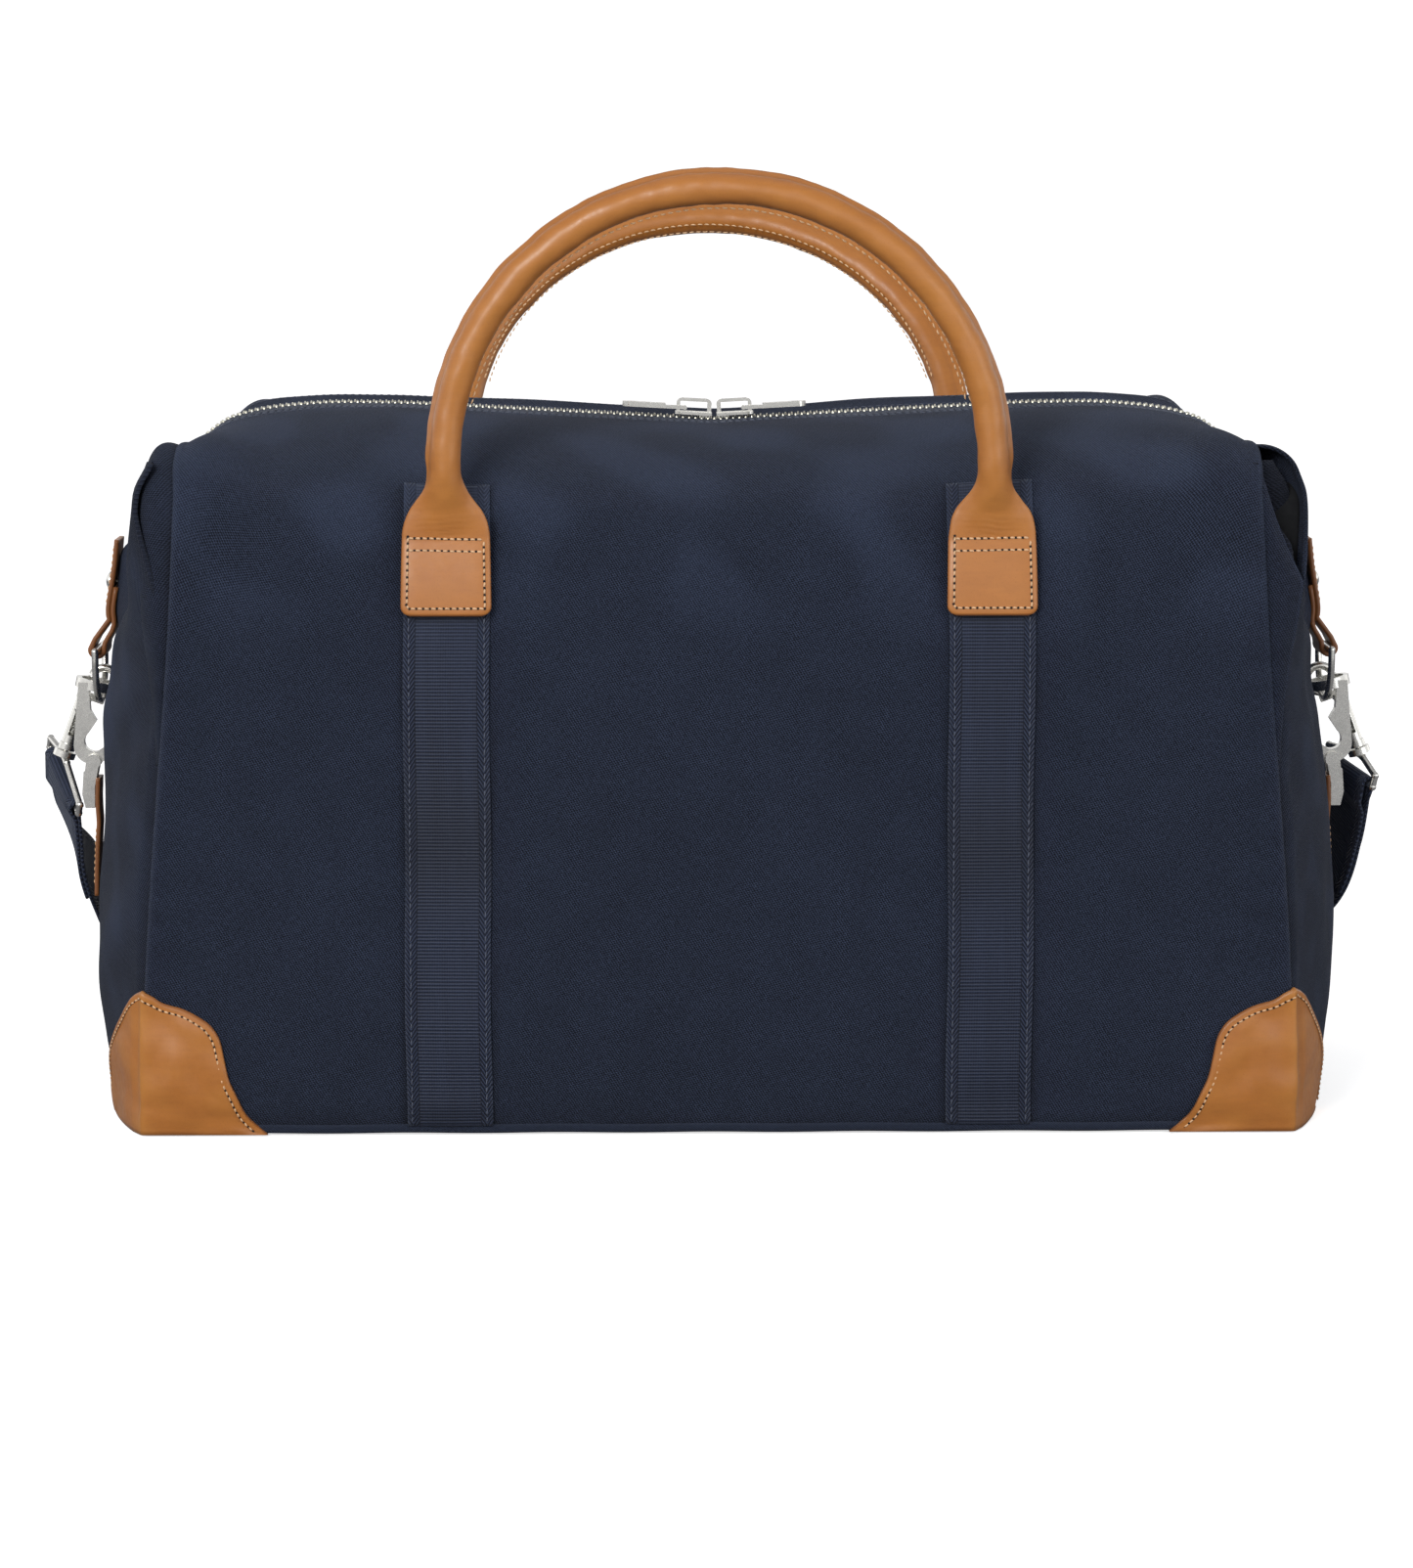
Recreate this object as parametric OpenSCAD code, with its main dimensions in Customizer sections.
// Canvas weekender bag: soft body, zip top, two rolled handles, end hardware and shoulder strap.
// Millimetres, +Z up, origin on the floor under the middle of the bag, front face towards -Y,
// left end towards -X.

/* [Body] */
// Half length of the front panel at the bottom seam
seam_half_low = 256; // [250:1:258]
// Half length of the front panel at the top
seam_half_top = 240; // [236:1:242]
// Half depth of the body at its fullest
half_depth = 131; // [127:1:134]
// Height of the zip at the middle of the bag
zip_mid_z = 312; // [309:0.5:314]
// How far the end gussets bulge past the panel seams
gusset_bulge = 33; // [30:1:34]
// Depth of the folded pleat at the top of each gusset
pleat_depth = 34; // [24:1:38]
// Thickness of the canvas panels with their interlining
canvas_thickness = 2.2; // [1.6:0.1:2.4]

/* [Webbing] */
// Width of the webbing bands and the shoulder strap
web_width = 38; // [36:1:39]
// Thickness of the webbing
web_thickness = 1.6; // [1.4:0.1:1.8]
// Distance of each band's middle from the middle of the bag
web_x = 120; // [116:1:124]

/* [Handles] */
// Outer diameter of the rolled leather grips
grip_diameter = 14; // [12:0.5:15]
// Diameter of the rope core in the grips
core_diameter = 8; // [6:0.5:8]
// Height of the line the grips flex about
grip_axis_z = 296; // [295:0.5:297]
// Distance of that line from the middle plane
grip_axis_y = 126; // [125:0.5:128]
// How far the back handle leans back at rest, degrees
back_lean = 31; // [15:1:35]

/* [Zip] */
// Pitch of the cut teeth blocks along the zip
tooth_pitch = 5; // [4:0.5:8]
// Length of a slider
slider_length = 17; // [15:1:18]
// Length of a pull tab from its pivot
pull_length = 29; // [24:1:32]

/* [Hardware] */
// Wire diameter of the D-rings
ring_wire = 3.2; // [2.8:0.1:3.6]
// Inner width of the D-rings
ring_inner_width = 38; // [36:1:40]
// Outward lean of the snap hooks, degrees
snap_lean = 20; // [16:1:24]

/* [Hidden] */

canvas = [0.17, 0.20, 0.27];
lining_cloth = [0.30, 0.33, 0.40];
board = [0.35, 0.32, 0.28];
webbing = [0.22, 0.25, 0.34];
tan_leather = [0.74, 0.48, 0.28];
rope = [0.85, 0.80, 0.70];
nickel = [0.78, 0.78, 0.75];
teeth_metal = [0.75, 0.75, 0.66];
spring_steel = [0.6, 0.6, 0.58];

// ---- helpers ----
function unit(v) = v / max(norm(v), 1e-9);
function mix(a, b, t) = a + (b - a) * t;
// 0 below a, 1 above b, with an eased rise between.
function smooth(a, b, x) = let (t = min(1, max(0, (x - a) / (b - a)))) t * t * (3 - 2 * t);
// Length of a path from its start to point i.
function path_length(path, i) =
  i == 0 ? 0 : path_length(path, i - 1) + norm(path[i] - path[i - 1]);
// Lookup table from keys to one column of a table.
function keyed(keys, table, column) = [for (j = [0:len(table) - 1]) [keys[j], table[j][column]]];

// Parts are built for the right end and the front or +y side, then mirrored across.
module to_end(right) {
  mirror([right ? 0 : 1, 0, 0]) children();
}
module flip_y(flip) {
  mirror([0, flip ? 1 : 0, 0]) children();
}

// 2D shape read as x and z, thickened along y about mid_y.
module plate_across(thickness, mid_y = 0) {
  translate([0, mid_y + thickness / 2, 0]) rotate([90, 0, 0]) linear_extrude(thickness) children();
}

// Cylinder along y, centred.
module pin_across(diameter, length, sides = 32) {
  rotate([90, 0, 0]) cylinder(d = diameter, h = length, center = true, $fn = sides);
}

// Cylinder between two points.
module rod(start, end, diameter) {
  v = end - start;
  length = norm(v);
  translate(start) rotate([0, acos(v[2] / length), atan2(v[1], v[0])])
    cylinder(d = diameter, h = length, $fn = 32);
}

// Closed sheet between two grids of points with rows of equal length.
module sheet(outer, inner) {
  rows = len(outer);
  cols = len(outer[0]);
  count = rows * cols;
  points = concat([for (row = outer) each row], [for (row = inner) each row]);
  outer_faces = [for (i = [0:rows - 2]) for (j = [0:cols - 2])
    let (a = i * cols + j, b = a + 1, c = b + cols, d = a + cols)
    each [[a, b, c], [a, c, d]]];
  inner_faces = [for (f = outer_faces) [f[0] + count, f[2] + count, f[1] + count]];
  edge = concat([for (j = [0:cols - 2]) j],
    [for (i = [0:rows - 2]) i * cols + cols - 1],
    [for (j = [cols - 1:-1:1]) (rows - 1) * cols + j],
    [for (i = [rows - 1:-1:1]) i * cols]);
  rim = [for (s = [0:len(edge) - 1]) let (a = edge[s], b = edge[(s + 1) % len(edge)])
    each [[b, a, a + count], [b, a + count, b + count]]];
  polyhedron(points, [for (f = concat(outer_faces, inner_faces, rim)) [f[2], f[1], f[0]]]);
}

// ---- body surface ----
seam_half_depth = half_depth - 5;
seam_z = 3.4;
// Front panel profile: share of the way up, distance out from the middle plane, height.
profile = [[0, seam_half_depth, seam_z], [0.06, half_depth - 2.5, 18], [0.16, half_depth - 0.5, 50],
  [0.32, half_depth, 108], [0.48, half_depth - 0.6, 170], [0.6, half_depth - 3.5, 218],
  [0.69, half_depth - 9, 250], [0.77, half_depth - 20, 277], [0.84, half_depth - 40, 294.5],
  [0.91, half_depth - 72, 305], [0.96, half_depth - 100, 309], [1, 9, 310.2]];
function profile_y(t) = lookup(t, [for (p = profile) [p[0], p[1]]]);
function profile_z(t) = lookup(t, [for (p = profile) [p[0], p[2]]]);
function profile_normal(t) =
  let (a = max(0, t - 0.03), b = min(1, t + 0.03),
    along = unit([profile_y(b) - profile_y(a), profile_z(b) - profile_z(a)]))
  [along[1], -along[0]];
function share_at(z) = lookup(z, [for (p = profile) [p[2], p[0]]]);
function seam_x(z) = mix(seam_half_low, seam_half_top, smooth(20, 295, z));

// Zip line from the middle outwards, x and z: straight rise, then over the end and down.
zip_rise_x = 160;
zip_rise = 8.5;
zip_line = [[0, zip_mid_z], [zip_rise_x, zip_mid_z + zip_rise], [198, zip_mid_z + 6.5],
  [222, zip_mid_z + 1.5], [236, zip_mid_z - 8], [250, zip_mid_z - 26], [261, zip_mid_z - 48]];
zip_last = len(zip_line) - 1;
zip_runs = [for (i = [0:zip_last]) path_length(zip_line, i)];
zip_length = zip_runs[zip_last];
zip_slope = atan2(zip_rise, zip_rise_x);
function zip_point(s) =
  [lookup(s, keyed(zip_runs, zip_line, 0)), lookup(s, keyed(zip_runs, zip_line, 1))];

// Point on the front panel at x and share t up the profile, moved out from the outer face.
// The ears stand up near the ends; the crown is a low swell beside the zip.
function panel_point(x, t, out, ear_height, crown = 0) =
  let (normal = profile_normal(t),
    zip_lift = (lookup(min(abs(x), 236), zip_line) - zip_mid_z) * smooth(0.62, 0.97, t),
    ear = ear_height * smooth(190, 238, abs(x))
      * smooth(0.6, 0.78, t) * (1 - smooth(0.8, 0.97, t)),
    swell = crown * smooth(0.8, 0.9, t) * (1 - smooth(0.965, 1, t)))
  [x, -(profile_y(t) + out * normal[0]), profile_z(t) + out * normal[1] + zip_lift + ear + swell];

// Share of the gusset bulge by height.
gusset_fullness = [[0, 0.66], [15, 0.75], [30, 0.86], [60, 0.94], [130, 1.02], [165, 1],
  [215, 1.08], [245, 1], [270, 0.95], [300, 0.8]];
// Distance of the right gusset's outer face from the middle of the bag.
function gusset_x(y, z) =
  let (share = min(1, abs(y) / (half_depth - 3)),
    bulge = gusset_bulge * lookup(z, gusset_fullness),
    flatness = 2.6 + 2 * smooth(200, 270, z),
    dent = 6.5 * smooth(125, 150, z) * (1 - smooth(200, 226, z)) * exp(-y * y / 700),
    pleat = pleat_depth * smooth(176, 278, z) * pow(max(0, sin(180 * pow(share, 0.8))), 3),
    seam_tuck = 3.5 * smooth(0.93, 1, share))
  seam_x(z) + bulge * (1 - pow(share, flatness)) - dent - pleat - seam_tuck;

// ---- body pieces ----
module panel(back) {
  rows = 20;
  ear_height = back ? 31 : 18;
  crown = back ? 5 : 0.6;
  // Columns as shares of the half length.
  half = [0.167, 0.333, 0.5, 0.667, 0.75, 0.825, 0.88, 0.925, 0.983, 1];
  columns = concat([for (k = [len(half) - 1:-1:0]) -half[k]], [0], half);
  function face(out) = [for (j = [0:rows]) [for (share = columns) let (t = j / rows)
    panel_point(seam_x(profile_z(t)) * share, t, out, ear_height, crown)]];
  color(canvas) flip_y(back) sheet(face(0), face(-canvas_thickness));
}

gusset_low_z = 3.6;
gusset_edge_z = 277;
// The top edge dips towards the middle plane.
function gusset_top_z(y) = 286 - 27 * smooth(0, 1, 1 - abs(y) / 100);
function gusset_half_y(z) =
  profile_y(share_at(min(z, gusset_edge_z))) - canvas_thickness - 0.7;

module gusset(right) {
  cols = 20;
  rows = 14;
  function point(j, i, inset) =
    let (across = sin(90 * (i * 2 / cols - 1)),
      up = j / rows,
      edge_y = across * gusset_half_y(mix(gusset_low_z, gusset_edge_z, up)),
      z = mix(gusset_low_z, gusset_top_z(edge_y), up),
      y = across * gusset_half_y(z))
    [gusset_x(y, z) - inset, y, z];
  function face(inset) = [for (j = [0:rows]) [for (i = [0:cols]) point(j, i, inset)]];
  color(canvas) to_end(right) sheet(face(0), face(canvas_thickness));
}

// Rectangle with its corners cut off by squares turned 45 degrees.
module clipped_rectangle(half_x, half_y, cutter) {
  difference() {
    square([2 * half_x, 2 * half_y], center = true);
    for (sx = [-1, 1], sy = [-1, 1])
      translate([sx * half_x, sy * half_y]) rotate(45) square(cutter, center = true);
  }
}

bottom_thickness = 2.9;
board_z = 3.3;
board_thickness = 3;

module bottom_panel() {
  color(canvas) linear_extrude(bottom_thickness)
    clipped_rectangle(seam_half_low - 1, seam_half_depth, 9);
}

module base_board() {
  color(board) translate([0, 0, board_z]) linear_extrude(board_thickness)
    clipped_rectangle(seam_half_low - 12, half_depth - 11, 22);
}

// Open tub inside the panels and gussets.
lining_thickness = 0.9;
lining_radius = 14;
lining_heights = [6.8, 30, 90, 155, 200, 232, 258];
// Half length of the lining by height.
lining_half_x = [[6, seam_half_low - 14], [155, seam_half_low - 20], [200, seam_half_top - 22],
  [232, seam_half_top - 36], [260, seam_half_top - 46]];

module lining() {
  // Corner centres by sign of x and y, with the angle where each arc starts.
  corners = [[1, -1, -90], [1, 1, 0], [-1, 1, 90], [-1, -1, 180]];
  arc_steps = 4;
  n = len(corners) * (arc_steps + 1);
  levels = len(lining_heights);
  count = n * levels;
  floor_z = lining_heights[0];
  function half_y(z) =
    profile_y(share_at(z)) - canvas_thickness - 1.2 - 3 * (1 - smooth(0, 30, z));
  function ring(z, inset) =
    let (centre_x = lookup(z, lining_half_x) - inset - lining_radius,
      centre_y = half_y(z) - inset - lining_radius)
    [for (q = corners) for (k = [0:arc_steps]) let (angle = q[2] + 90 / arc_steps * k)
      [q[0] * centre_x + lining_radius * cos(angle),
       q[1] * centre_y + lining_radius * sin(angle), z]];
  points = concat([for (z = lining_heights) each ring(z, 0)],
    [for (z = lining_heights) each [for (p = ring(z, lining_thickness))
      [p[0], p[1], z == floor_z ? z + lining_thickness : z]]]);
  outside = [for (i = [0:levels - 2]) for (j = [0:n - 1])
    let (a = i * n + j, b = i * n + (j + 1) % n) each [[a, a + n, b], [b, a + n, b + n]]];
  inside = [for (f = [for (i = [0:levels - 2]) for (j = [0:n - 1])
    let (a = count + i * n + j, b = count + i * n + (j + 1) % n)
    each [[a, b, a + n], [b, b + n, a + n]]]) f];
  rim = [for (j = [0:n - 1])
    let (a = (levels - 1) * n + j, b = (levels - 1) * n + (j + 1) % n)
    each [[a, a + count, b], [b, a + count, b + count]]];
  floors = concat([for (j = [1:n - 2]) [0, j, j + 1]],
    [for (j = [1:n - 2]) [count, count + j + 1, count + j]]);
  color(lining_cloth) polyhedron(points, concat(outside, inside, rim, floors));
}

// ---- webbing bands and corner patches ----
web_gap = 0.35;
// Share of the panel profile that a band climbs.
web_top_share = 0.8;

// side is -1 for left, 1 for right.
module web_band(side, back) {
  cols = 4;
  rows = 16;
  function face(out) = [for (j = [0:rows]) [for (i = [0:cols])
    panel_point(side * web_x + web_width * (i / cols - 0.5), web_top_share * j / rows, out, 0)]];
  color(webbing) flip_y(back) sheet(face(web_gap + web_thickness), face(web_gap));
}

patch_thickness = 1.6;
patch_low_z = 1;
patch_peak_z = 66;
patch_start_x = seam_half_low - 54;
patch_end_y = 76;

// Leather patch round a bottom corner: along the front, round the seam and onto the gusset.
module corner(right, back) {
  cols = 14;
  rows = 6;
  function top_z(u) =
    u < 0.5 ? mix(4.5, patch_peak_z, pow(smooth(-0.05, 0.52, u), 0.75))
    : mix(patch_peak_z, 12, smooth(0.5, 1.02, u));
  function point(i, j, out) =
    let (u = i / cols,
      z = patch_low_z + (top_z(u) - patch_low_z) * j / rows,
      panel_y = profile_y(share_at(max(z, seam_z))) + out,
      edge_x = seam_x(z) + out,
      y = mix(panel_y, patch_end_y, (u - 0.5) * 2))
    u < 0.5 ? [mix(patch_start_x, edge_x, u * 2), -panel_y, z]
    : [max(gusset_x(y, z) + out, u == 0.5 ? edge_x : 0), -y, z];
  // The patch stands further off the gusset than off the panel.
  function face(extra) = [for (j = [0:rows]) [for (i = [0:cols])
    point(i, j, (i > cols / 2 ? 1 : 0.5) + extra)]];
  color(tan_leather) to_end(right) flip_y(back) sheet(face(patch_thickness), face(0));
}

// ---- zip ----
chain_half_height = 1.75;
// Depth of the chain's middle below the zip line.
chain_drop = 1.4;

// Strip outline along the right half of the zip, low to high off the zip line.
// A notch above 0 cuts gaps of that depth in its top, one per step.
module zip_outline(length, step, low, high, notch) {
  n = max(1, round(length / step));
  block = 0.55;
  function at(i, offset) =
    let (s = length * i / n,
      along = unit(zip_point(min(zip_length, s + 2)) - zip_point(max(0, s - 2))))
    zip_point(s) + offset * [-along[1], along[0]];
  // The first point of each block is set 0.01 mm along, to make a steep step.
  top = notch == 0 ? [for (i = [0:n]) at(i, high)]
    : [for (i = [0:n - 1]) each [at(i + 0.01 * n / length, high), at(i + block, high),
        at(i + block + 0.01, high - notch), at(i + 1, high - notch)]];
  polygon(concat(top, [for (i = [n:-1:0]) at(i, low)]));
}

// Both halves of a strip, y0 to y1 beside the middle plane, joined at the middle of the bag.
module zip_strip(y0, y1, length, step, low, high, notch = 0) {
  for (m = [0, 1]) mirror([m, 0, 0]) plate_across(y1 - y0, (y0 + y1) / 2) union() {
    zip_outline(length, step, low, high, notch);
    translate([-0.01, zip_mid_z + low]) square([0.4, high - low]);
  }
}

module zip_tape(back) {
  color(canvas) flip_y(!back) zip_strip(y0 = 3.6, y1 = 8.6, length = zip_length - 1,
    step = 12, low = -chain_drop - 0.4, high = -chain_drop + 0.35);
}

module zip_teeth(back) {
  color(teeth_metal) flip_y(!back) zip_strip(y0 = 0.75, y1 = 3.3, length = zip_length - 9,
    step = tooth_pitch, low = -chain_drop - chain_half_height,
    high = -chain_drop + chain_half_height, notch = 0.8);
}

module zip_stops() {
  place = zip_point(zip_length - 4);
  fall = zip_line[zip_last] - zip_line[zip_last - 1];
  color(nickel) for (m = [0, 1]) mirror([m, 0, 0])
    translate([place[0], 0, place[1]]) rotate([0, -atan2(fall[1], fall[0]), 0])
      translate([0, 0, -chain_drop]) cube([5, 6.4, 2 * chain_half_height], center = true);
}

// Frame of a slider: origin at its inner end in the middle of the chain, +x outwards.
module on_zip(right) {
  to_end(right) translate([0, 0, zip_mid_z]) rotate([0, -zip_slope, 0])
    translate([1.2, 0, -chain_drop]) children();
}

plate_thickness = 1.2;
plate_width = 10.4;
plate_gap = 0.3;
bridge_z = chain_half_height + 1.3;

// Two plates joined by a thin wedge, with an arched bridge.
module slider(right) {
  color(nickel) on_zip(right) {
    for (z = [chain_half_height + plate_gap, -chain_half_height - plate_gap - plate_thickness])
      translate([0, 0, z]) linear_extrude(plate_thickness) difference() {
        translate([0, -plate_width / 2]) square([slider_length, plate_width]);
        for (s = [-1, 1]) translate([slider_length, s * 6.6]) circle(r = 3, $fn = 32);
      }
    translate([0.6, -0.4, -chain_half_height - 0.6])
      cube([5, 0.8, 2 * chain_half_height + 1.2]);
    translate([0, 0, bridge_z]) plate_across(2.3) difference() {
      union() {
        translate([0.3, 0]) square([slider_length - 0.8, 4]);
        translate([2.6, 0]) square([slider_length - 5.4, 6.6]);
        translate([2.6, 4.1]) circle(r = 2.4, $fn = 32);
        translate([slider_length - 2.8, 4.1]) circle(r = 2.3, $fn = 32);
      }
      translate([2.2, 0.6]) square([slider_length - 4.4, 4.4]);
    }
  }
}

pull_pivot = [slider_length - 4.4, 0, chain_half_height + 3.35];
pull_width = 8;
pull_thickness = 2.4;
stirrup_width = 6.6;
stirrup_thickness = 1.5;
pull_low_z = -stirrup_thickness / 2;

// Pivot pin, two arms, and a round-ended tab with a hole.
module pull(right) {
  color(nickel) on_zip(right) translate(pull_pivot) {
    pin_across(2, stirrup_width);
    for (s = [-1, 1]) translate([0, s * 2.45 - 0.85, pull_low_z])
      cube([8, 1.7, stirrup_thickness]);
    difference() {
      union() {
        translate([7.6, -stirrup_width / 2, pull_low_z])
          cube([3, stirrup_width, stirrup_thickness]);
        translate([6.4, -stirrup_width / 2, pull_low_z])
          cube([1.6, stirrup_width, stirrup_thickness]);
        translate([9, -pull_width / 2, pull_low_z])
          cube([pull_length - pull_width / 2 - 9, pull_width, pull_thickness]);
        translate([pull_length - pull_width / 2, 0, pull_low_z])
          cylinder(d = pull_width, h = pull_thickness, $fn = 48);
      }
      translate([pull_length - 5, 0, -2]) cylinder(d = 3.4, h = 4, $fn = 32);
    }
  }
}

// ---- handles ----
paddle_tilt = 13;
paddle_thickness = 3;
paddle_mid_z = 252.5;
paddle_y = profile_y(share_at(paddle_mid_z)) + web_gap + web_thickness + 0.9;
// Paddle top, below the grip axis.
paddle_top_drop = 3.6;
// Across and up the paddle, from its middle.
paddle_outline = [[-19.5, -16.5], [-15.5, -20.5], [15.5, -20.5], [19.5, -16.5], [19.5, 18],
  [16, 24], [9, 31], [7, 36], [-7, 36], [-9, 31], [-16, 24], [-19.5, 18]];

// Leather plate on a band, with a block at the top hollowed to clear the grip's end.
module paddle(side, back) {
  color(tan_leather) flip_y(back) translate([side * web_x, 0, 0]) difference() {
    union() {
      translate([0, -paddle_y, paddle_mid_z]) rotate([90 - paddle_tilt, 0, 0])
        linear_extrude(paddle_thickness) union() {
          polygon(paddle_outline);
          for (s = [-1, 1]) translate([s * 15.5, -16.5]) circle(r = 4, $fn = 32);
        }
      translate([-7, -grip_axis_y + 3, grip_axis_z - paddle_top_drop - 6.9])
        cube([14, 8.5, 6.9]);
    }
    translate([0, -grip_axis_y, grip_axis_z]) rotate([0, 90, 0])
      cylinder(r = grip_diameter / 2 + 0.6, h = 50, center = true, $fn = 64);
    translate([-30, -grip_axis_y - 20, grip_axis_z - paddle_top_drop - 0.01])
      cube([60, 40, 20]);
  }
}

// Frame on the grip axis, with the handle standing up along y.
module at_grip(back) {
  translate([0, (back ? 1 : -1) * grip_axis_y, grip_axis_z])
    rotate([back ? -back_lean : 0, 0, 0]) rotate([90, 0, 0]) children();
}

// Half ring between the bands, shortened by trim degrees at each end.
module handle_arc(diameter, trim = 0) {
  translate([0, 2, 0]) rotate([0, 0, trim]) rotate_extrude(angle = 180 - 2 * trim, $fn = 96)
    translate([web_x, 0]) circle(d = diameter, $fn = 32);
}

module grip(back) {
  color(tan_leather) at_grip(back) difference() {
    union() {
      handle_arc(grip_diameter);
      for (s = [-1, 1]) translate([s * web_x, 0, 0]) rotate([0, 90, 0])
        cylinder(r = grip_diameter / 2 - 0.6, h = grip_diameter - 1, center = true, $fn = 64);
    }
    handle_arc(core_diameter + 0.4, trim = 4);
  }
}

module core(back) {
  color(rope) at_grip(back) handle_arc(core_diameter, trim = 4.3);
}

// ---- end hardware, built for the right end ----
ring_x = 286.4;
ring_bar_z = 205;
ring_centre_z = 201;
ring_radius = ring_inner_width / 2 + ring_wire / 2;

// Straight bar on top, half ring hanging below.
module d_ring(right) {
  color(nickel) to_end(right) translate([ring_x, 0, 0]) {
    translate([0, 0, ring_centre_z]) rotate([0, 90, 0]) rotate([0, 0, -90])
      rotate_extrude(angle = 180, $fn = 96)
        translate([ring_radius, 0]) circle(d = ring_wire, $fn = 32);
    for (s = [-1, 1]) translate([0, s * ring_radius, ring_centre_z - 0.01])
      cylinder(d = ring_wire, h = ring_bar_z - ring_centre_z + 0.02, $fn = 32);
    for (s = [-1, 1]) translate([0, s * ring_radius, ring_bar_z])
      sphere(d = ring_wire, $fn = 32);
    translate([0, 0, ring_bar_z]) pin_across(ring_wire, 2 * ring_radius);
  }
}

// Points along the gusset's middle line from z0 to z1, moved out from its face.
function gusset_line(z0, z1, steps, out) =
  [for (i = [0:steps]) let (z = mix(z0, z1, i / steps)) [gusset_x(0, z) + out, z]];
function reversed(list) = [for (i = [len(list) - 1:-1:0]) list[i]];

tab_width = 25;
tab_thickness = 2.6;
tab_gap = 0.8;
rivet_z = 236;
rivet_head = 9;

// Leather loop round the D-ring bar, running up the gusset.
module end_tab(right) {
  function face(out) = gusset_line(217, 256, 8, tab_gap + out);
  outline = concat([[ring_x - 4.4, ring_bar_z], [ring_x - 2.6, ring_bar_z + 3.4]],
    face(0), reversed(face(tab_thickness)),
    [[ring_x + 3.2, ring_bar_z + 3], [ring_x + 4.4, ring_bar_z]]);
  color(tan_leather) to_end(right) difference() {
    union() {
      plate_across(tab_width) polygon(outline);
      translate([ring_x, 0, ring_bar_z]) pin_across(8.8, tab_width, 48);
    }
    translate([ring_x, 0, ring_bar_z]) pin_across(ring_wire + 0.8, 60);
    translate([gusset_x(0, rivet_z) - 5, 0, rivet_z]) rotate([0, 90, 0])
      cylinder(d = 3.4, h = 20, $fn = 32);
  }
}

// Shank, flat head and domed cap.
module rivet(right) {
  color(nickel) to_end(right) translate([gusset_x(0, rivet_z) + tab_gap, 0, rivet_z])
    rotate([0, 90, 0]) {
      translate([0, 0, -0.4]) cylinder(d = 3, h = 4.6, $fn = 32);
      translate([0, 0, 3.7]) cylinder(d = rivet_head, h = 0.8, $fn = 48);
      translate([0, 0, 4.5]) intersection() {
        translate([0, 0, -4.2]) sphere(r = 6.15, $fn = 48);
        cylinder(d = rivet_head, h = 4, $fn = 48);
      }
    }
}

// ---- clasp ----
clasp_y = -7;
clasp_pin = [287.6, 143.2];
claw_thickness = 5.2;
lever_cheek = 2.4;
lever_pin = 2.1;
// Outlines in x and z, in the clasp frame.
claw_arm = [[296.8, 151], [294.2, 180], [289.6, 180], [288.8, 167], [284, 158.5], [281.4, 154]];
claw_mouth = [[283.5, 149.4], [291, 155], [286, 162.2], [270, 166], [270, 149.4]];
lever_tail = [[293, 128], [291.5, 121.5], [287.2, 121.5], [287, 132]];

module at_clasp(right) {
  to_end(right) translate([1.5, 0, 9.5]) children();
}
module at_clasp_pin() {
  translate([clasp_pin[0], clasp_y, clasp_pin[1]]) children();
}

// Band ring hooked through the D-ring, and a claw plate below it.
module clasp(right) {
  color(nickel) at_clasp(right) difference() {
    union() {
      translate([287, -0.5, 178.2]) rotate([0, -12, 0]) difference() {
        cylinder(r = 9.5, h = 4.6, center = true, $fn = 64);
        cylinder(r = 7.1, h = 9, center = true, $fn = 64);
      }
      plate_across(claw_thickness, clasp_y) difference() {
        union() {
          translate([288, 150.5]) circle(r = 8.8, $fn = 64);
          polygon(claw_arm);
        }
        translate([287.2, 152.4]) circle(r = 4.7, $fn = 48);
        polygon(claw_mouth);
        translate([270, 135]) square([11.2, 40]);
      }
      at_clasp_pin() pin_across(5.6, claw_thickness, 48);
    }
    at_clasp_pin() pin_across(2.3, 20);
  }
}

// Two cheeks beside the claw, joined by a web below it, on a pin through the claw.
module clasp_lever(right) {
  color(nickel) at_clasp(right) difference() {
    union() {
      for (s = [-1, 1]) plate_across(lever_cheek, clasp_y + s * 4.1) union() {
        translate(clasp_pin) circle(r = 3.4, $fn = 48);
        polygon(concat([clasp_pin + [-3, 1], clasp_pin + [3.4, 0]], lever_tail));
      }
      plate_across(10.6, clasp_y)
        polygon(concat([clasp_pin + [0.6, -4.6], clasp_pin + [4.6, -4.6]], lever_tail));
      at_clasp_pin() pin_across(lever_pin, 10);
    }
    // Room for the claw between the cheeks, leaving the pin.
    difference() {
      at_clasp_pin() pin_across(8.8, 5.7, 48);
      at_clasp_pin() pin_across(lever_pin, 10);
    }
  }
}

// Leather tongue up the gusset, behind the lever.
module clasp_tab(right) {
  function face(out) = gusset_line(90, 124, 7, 1.2 + out);
  color(tan_leather) to_end(right) plate_across(16, clasp_y)
    polygon(concat(face(0), [[286.3, 136], [285.9, 145.5], [287.7, 145.5], [288.1, 136]],
      reversed(face(2.2))));
}

// ---- snap hook ----
// Frame: origin at the middle of the hook's eye, +x outwards, -z down the barrel.
snap_y = 14.5;
snap_origin = [ring_x, snap_y,
  ring_centre_z - sqrt(ring_radius * ring_radius - snap_y * snap_y) + 1.2];
eye_radius = 6.3;
barrel_top_z = -9.5;
barrel_length = 27;
barrel_low_z = barrel_top_z - barrel_length;

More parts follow.
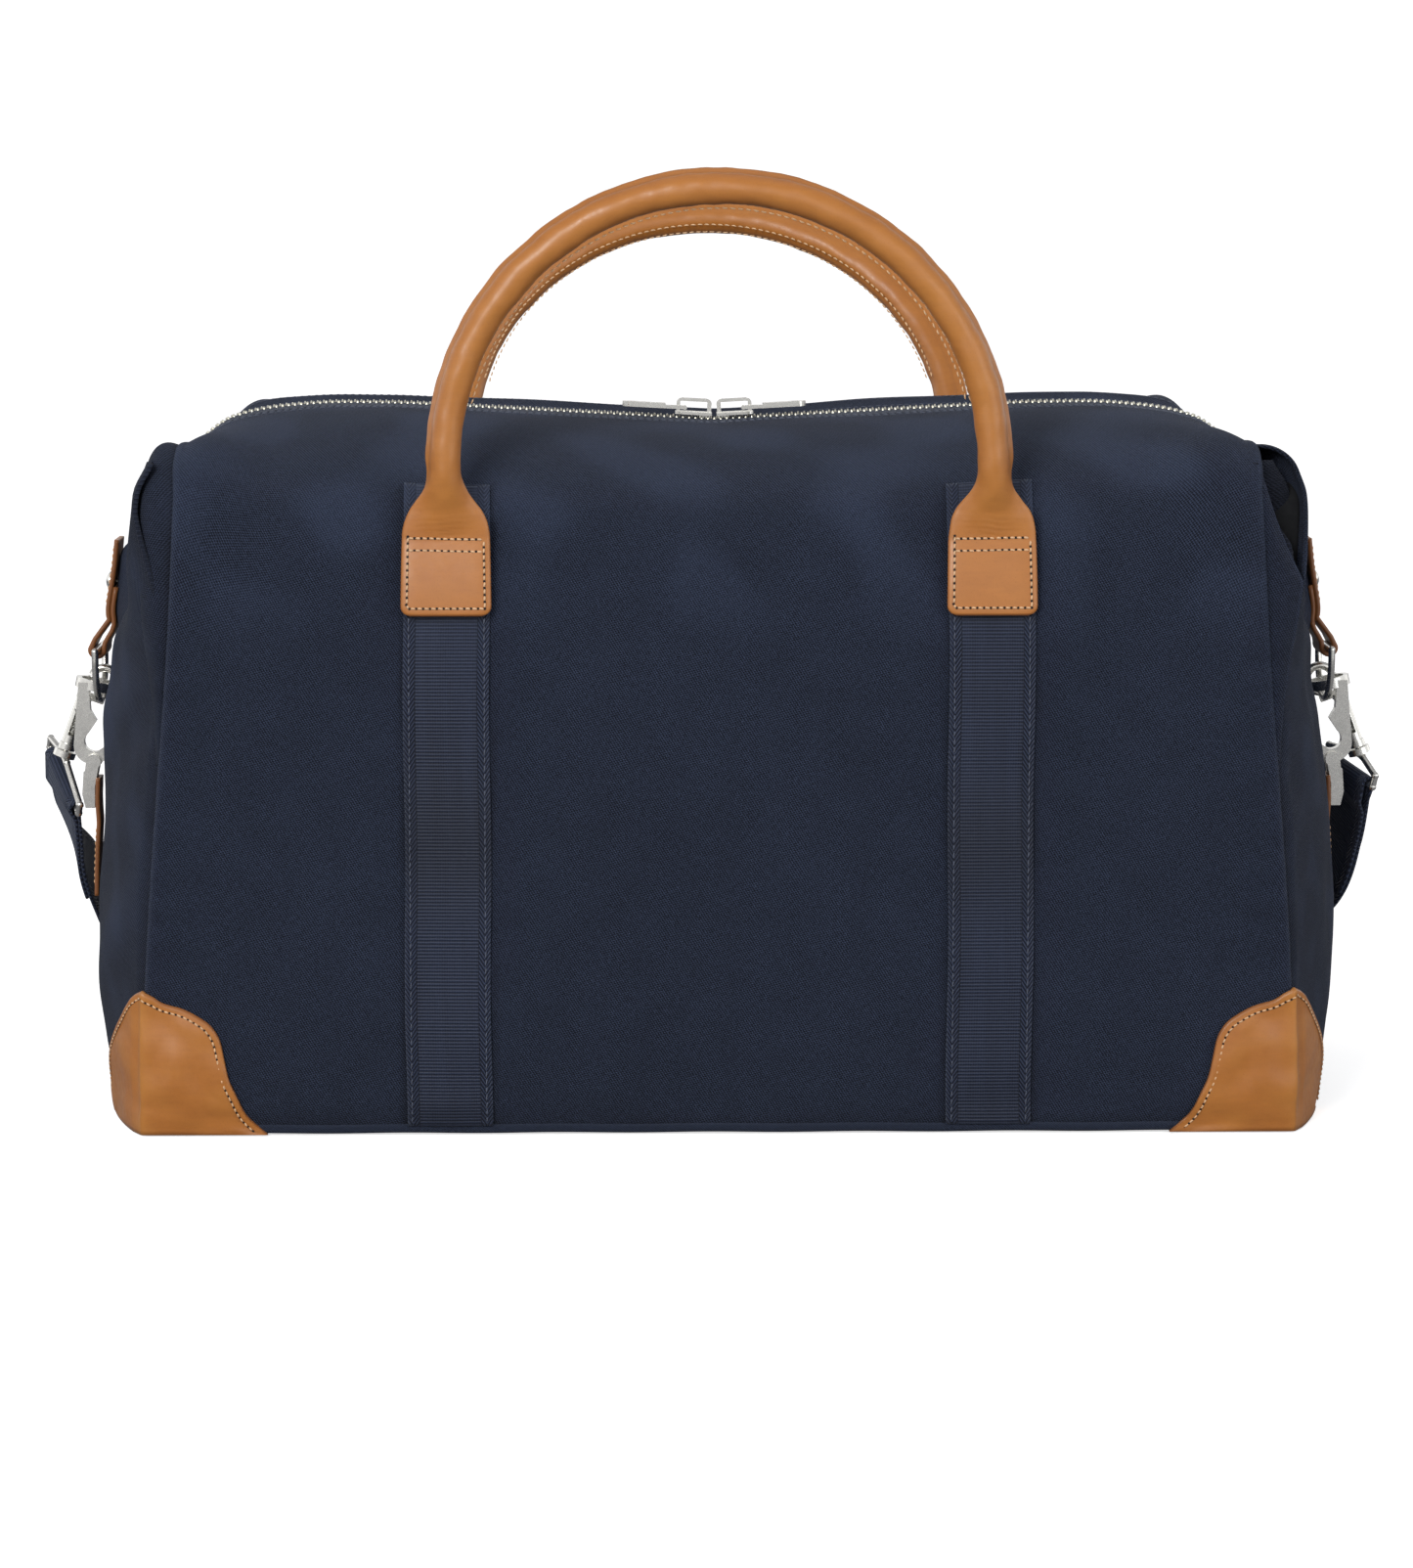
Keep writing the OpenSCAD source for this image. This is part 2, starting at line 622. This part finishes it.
module at_snap(right) {
  to_end(right) translate(snap_origin) rotate([0, -snap_lean, 0]) children();
}
module at_barrel(right, z = 0) {
  at_snap(right) translate([eye_radius, 0, z]) children();
}

// Open hook and hollow barrel with a slot on the front side for the bolt's thumb knob.
module snap_body(right) {
  color(nickel) at_snap(right) difference() {
    union() {
      rotate([90, 0, 0]) rotate([0, 0, 10]) rotate_extrude(angle = 250, $fn = 96)
        translate([eye_radius, 0]) circle(d = 3.8, $fn = 32);
      translate([-3.1, -1.7, -eye_radius - 4.4]) cube([8, 3.4, 3.4]);
      translate([-3.1, -1.7, -eye_radius - 4.4]) cube([2.6, 3.4, 5.6]);
      translate([eye_radius, 0, barrel_low_z]) cylinder(d = 6.8, h = barrel_length, $fn = 48);
      translate([eye_radius, 0, barrel_low_z - 0.01]) cylinder(d = 8, h = 3, $fn = 48);
      translate([eye_radius, 0, barrel_top_z - 2]) cylinder(d = 7.6, h = 2.01, $fn = 48);
    }
    translate([eye_radius, 0, barrel_low_z + 3.2])
      cylinder(d = 4.4, h = barrel_length + 4, $fn = 48);
    translate([eye_radius, 0, barrel_low_z - 1]) cylinder(d = 3, h = 10, $fn = 32);
    translate([eye_radius - 1.3, -6, barrel_top_z - 20]) cube([2.6, 6, 16]);
  }
}

bolt_depth = 8;
knob_z = barrel_top_z - 6.2;

// Bolt rising out of the barrel to the hook's tip, with a ball knob on a stem.
module snap_bolt(right) {
  color(nickel) at_barrel(right) union() {
    translate([0, 0, barrel_top_z - bolt_depth])
      cylinder(d = 3.9, h = bolt_depth - barrel_top_z + 0.3, $fn = 32);
    translate([0, -1, knob_z]) rotate([90, 0, 0]) cylinder(d = 2, h = 4.4, $fn = 32);
    translate([0, -5, knob_z]) sphere(d = 4.4, $fn = 32);
  }
}

// Coil of square wire in the barrel, below the bolt.
module snap_spring(right) {
  turns = 6;
  turn_steps = 8;
  coil_radius = 1.75;
  half_wire = 0.19;
  height = 10.2;
  low_z = barrel_low_z + 8.4;
  section = half_wire * [[1, 1], [-1, 1], [-1, -1], [1, -1]];
  n = turns * turn_steps;
  points = [for (i = [0:n]) for (s = section)
    let (angle = 360 * i / turn_steps, r = coil_radius + s[0])
    [r * cos(angle), r * sin(angle), low_z + height * i / n + s[1]]];
  sides = [for (i = [0:n - 1]) for (j = [0:3]) let (a = i * 4 + j, b = i * 4 + (j + 1) % 4)
    each [[a, b, a + 4], [b, b + 4, a + 4]]];
  end = n * 4;
  caps = [[0, 3, 2], [0, 2, 1], [end, end + 1, end + 2], [end, end + 2, end + 3]];
  color(spring_steel) at_barrel(right) polyhedron(points, concat(sides, caps));
}

// ---- swivel eye: the bar the strap loops round, and its bail ----
swivel_z = barrel_low_z - 2.4;
bail_wire = 3.2;

// Point of the barrel's axis at z in the snap frame, in the bag's frame.
function barrel_point(right, z) =
  let (c = cos(snap_lean), s = sin(snap_lean))
  [(right ? 1 : -1) * (snap_origin[0] + eye_radius * c - z * s), snap_y,
   snap_origin[2] + eye_radius * s + z * c];
function bar_direction(right) = unit(right ? [13, -34, -8] : [14, -26, -23]);
function bar_centre(right) =
  barrel_point(right, swivel_z) + (right ? [-3.5, 6, -10.5] : [-1, 5, -13]);

module snap_eye(right) {
  centre = bar_centre(right);
  along = bar_direction(right);
  collar = barrel_point(right, swivel_z - 0.6);
  up = unit(collar - centre);
  square_up = unit(up - along * (up * along));
  // s is 1 or -1 for the two ends of the bar.
  function bar_end(s) = centre + along * s * 22.4;
  function shoulder(s) = bar_end(s) + square_up * 5.6;
  function head(s) = collar + along * s * 4 - up * 1.2;
  color(nickel) union() {
    at_barrel(right) {
      translate([0, 0, swivel_z - 1.4]) cylinder(d = 10.5, h = 3.2, $fn = 48);
      translate([0, 0, swivel_z]) cylinder(d = 2.7, h = 6, $fn = 32);
      translate([0, 0, swivel_z + 5.8]) cylinder(d = 4, h = 1.6, $fn = 32);
    }
    rod(bar_end(1), bar_end(-1), bail_wire);
    rod(head(1), head(-1), bail_wire);
    for (s = [1, -1]) {
      rod(bar_end(s), shoulder(s), bail_wire);
      rod(shoulder(s), head(s), bail_wire);
      for (p = [bar_end(s), shoulder(s), head(s)]) translate(p) sphere(d = 3.7, $fn = 24);
    }
  }
}

// ---- shoulder strap ----
left_bar = bar_centre(false);
right_bar = bar_centre(true);
// Ends of the run that carries the adjuster, and the strap's width direction there.
adjuster_high = [297.5, 46, 92];
adjuster_low = [281.5, 94, 64];
adjuster_across = unit([0.08, -0.48, -0.87]);
// Stations from the left eye bar round the back to the right one: middle point, width direction.
strap_stations = [
  [left_bar + [0.8, 2.6, -5], bar_direction(false)],
  [left_bar + [2.5, 11, -25], unit([0.34, -0.68, -0.6])],
  [[-297, 46, 92], [-0.1 + 0.2, -0.58, -0.8]],
  [[-288, 86, 62], [0, -0.48, -0.87]],
  [[-274, 129, 41], [0, -0.25, -0.97]],
  [[-232, 155, 28], [0, 0, -1]],
  [[-150, 157, 22], [0, 0, -1]],
  [[0, 158, 21.5], [0, 0, -1]],
  [[150, 157, 22], [0, 0, -1]],
  [[232, 155, 29], [0, 0, -1]],
  [[273, 131, 46], [0, -0.3, -0.95]],
  [adjuster_low, adjuster_across],
  [adjuster_high, adjuster_across],
  [right_bar + [0, 11, -25], unit([0.26, -0.8, -0.5])],
  [right_bar + [0.5, 2.5, -5], bar_direction(true)]];

module strap_webbing() {
  steps = 4;
  n = len(strap_stations);
  last = (n - 1) * steps;
  // Smooth curve through one column of the stations: 0 for points, 1 for directions.
  function curve(k, column) =
    let (i = min(n - 2, floor(k / steps)),
      f = k / steps - i,
      a = strap_stations[max(0, i - 1)][column],
      b = strap_stations[i][column],
      c = strap_stations[i + 1][column],
      d = strap_stations[min(n - 1, i + 2)][column])
    0.5 * (2 * b + (c - a) * f + (2 * a - 5 * b + 4 * c - d) * f * f
      + (3 * b - a - 3 * c + d) * f * f * f);
  // Cross row of two points at step k, moved off the strap's middle surface.
  function row(k, out) =
    let (along = unit(curve(min(last, k + 0.2), 0) - curve(max(0, k - 0.2), 0)),
      aim = curve(k, 1),
      across = unit(aim - along * (aim * along)),
      normal = cross(along, across))
    [for (s = [-0.5, 0.5]) curve(k, 0) + across * s * web_width + normal * out];
  function face(out) = [for (k = [0:last]) row(k, out)];
  // Rod centred on an eye bar.
  module bar_rod(right, half_length, diameter) {
    reach = bar_direction(right) * half_length;
    rod(bar_centre(right) - reach, bar_centre(right) + reach, diameter);
  }
  color(webbing) difference() {
    union() {
      sheet(face(-web_thickness / 2), face(web_thickness / 2));
      for (right = [false, true]) bar_rod(right, web_width / 2, 7.4);
    }
    for (right = [false, true]) bar_rod(right, 30, 4);
  }
}

// Sliding adjuster frame on the straight run beside the bag's right end.
module strap_adjuster() {
  u = unit(adjuster_low - adjuster_high);
  w = unit(adjuster_across - u * (adjuster_across * u));
  n = cross(w, u);
  c = (adjuster_high + adjuster_low) / 2;
  crossbar = [2.8, 1.6, 43];
  color(nickel)
    multmatrix([for (i = [0:3]) i < 3 ? [u[i], n[i], w[i], c[i]] : [0, 0, 0, 1]]) union() {
      for (s = [-1, 1]) translate([0, 0, s * 22]) cube([24, 7.4, 2.8], center = true);
      for (s = [-1, 1]) translate([s * 10.6, 2.9, 0]) cube(crossbar, center = true);
      translate([0, -2.9, 0]) cube(crossbar, center = true);
    }
}

panel(false);  // front_panel
panel(true);  // back_panel
bottom_panel();
gusset(false);  // gusset_left
gusset(true);  // gusset_right
lining();
base_board();
web_band(-1, false);  // web_front_left
web_band(1, false);  // web_front_right
web_band(-1, true);  // web_back_left
web_band(1, true);  // web_back_right
corner(false, false);  // corner_front_left
corner(true, false);  // corner_front_right
corner(false, true);  // corner_back_left
corner(true, true);  // corner_back_right
zip_tape(false);  // zip_tape_front
zip_tape(true);  // zip_tape_back
zip_teeth(false);  // zip_teeth_front
zip_teeth(true);  // zip_teeth_back
zip_stops();
slider(false);  // slider_left
slider(true);  // slider_right
pull(false);  // pull_left
pull(true);  // pull_right
paddle(-1, false);  // paddle_front_left
paddle(1, false);  // paddle_front_right
paddle(-1, true);  // paddle_back_left
paddle(1, true);  // paddle_back_right
grip(false);  // grip_front
grip(true);  // grip_back
core(false);  // core_front
core(true);  // core_back
end_tab(false);  // end_tab_left
end_tab(true);  // end_tab_right
rivet(false);  // rivet_left
rivet(true);  // rivet_right
d_ring(false);  // d_ring_left
d_ring(true);  // d_ring_right
clasp(false);  // clasp_left
clasp(true);  // clasp_right
clasp_lever(false);  // clasp_lever_left
clasp_lever(true);  // clasp_lever_right
clasp_tab(false);  // clasp_tab_left
clasp_tab(true);  // clasp_tab_right
snap_body(false);  // snap_body_left
snap_body(true);  // snap_body_right
snap_bolt(false);  // snap_bolt_left
snap_bolt(true);  // snap_bolt_right
snap_spring(false);  // snap_spring_left
snap_spring(true);  // snap_spring_right
snap_eye(false);  // snap_eye_left
snap_eye(true);  // snap_eye_right
strap_webbing();
strap_adjuster();
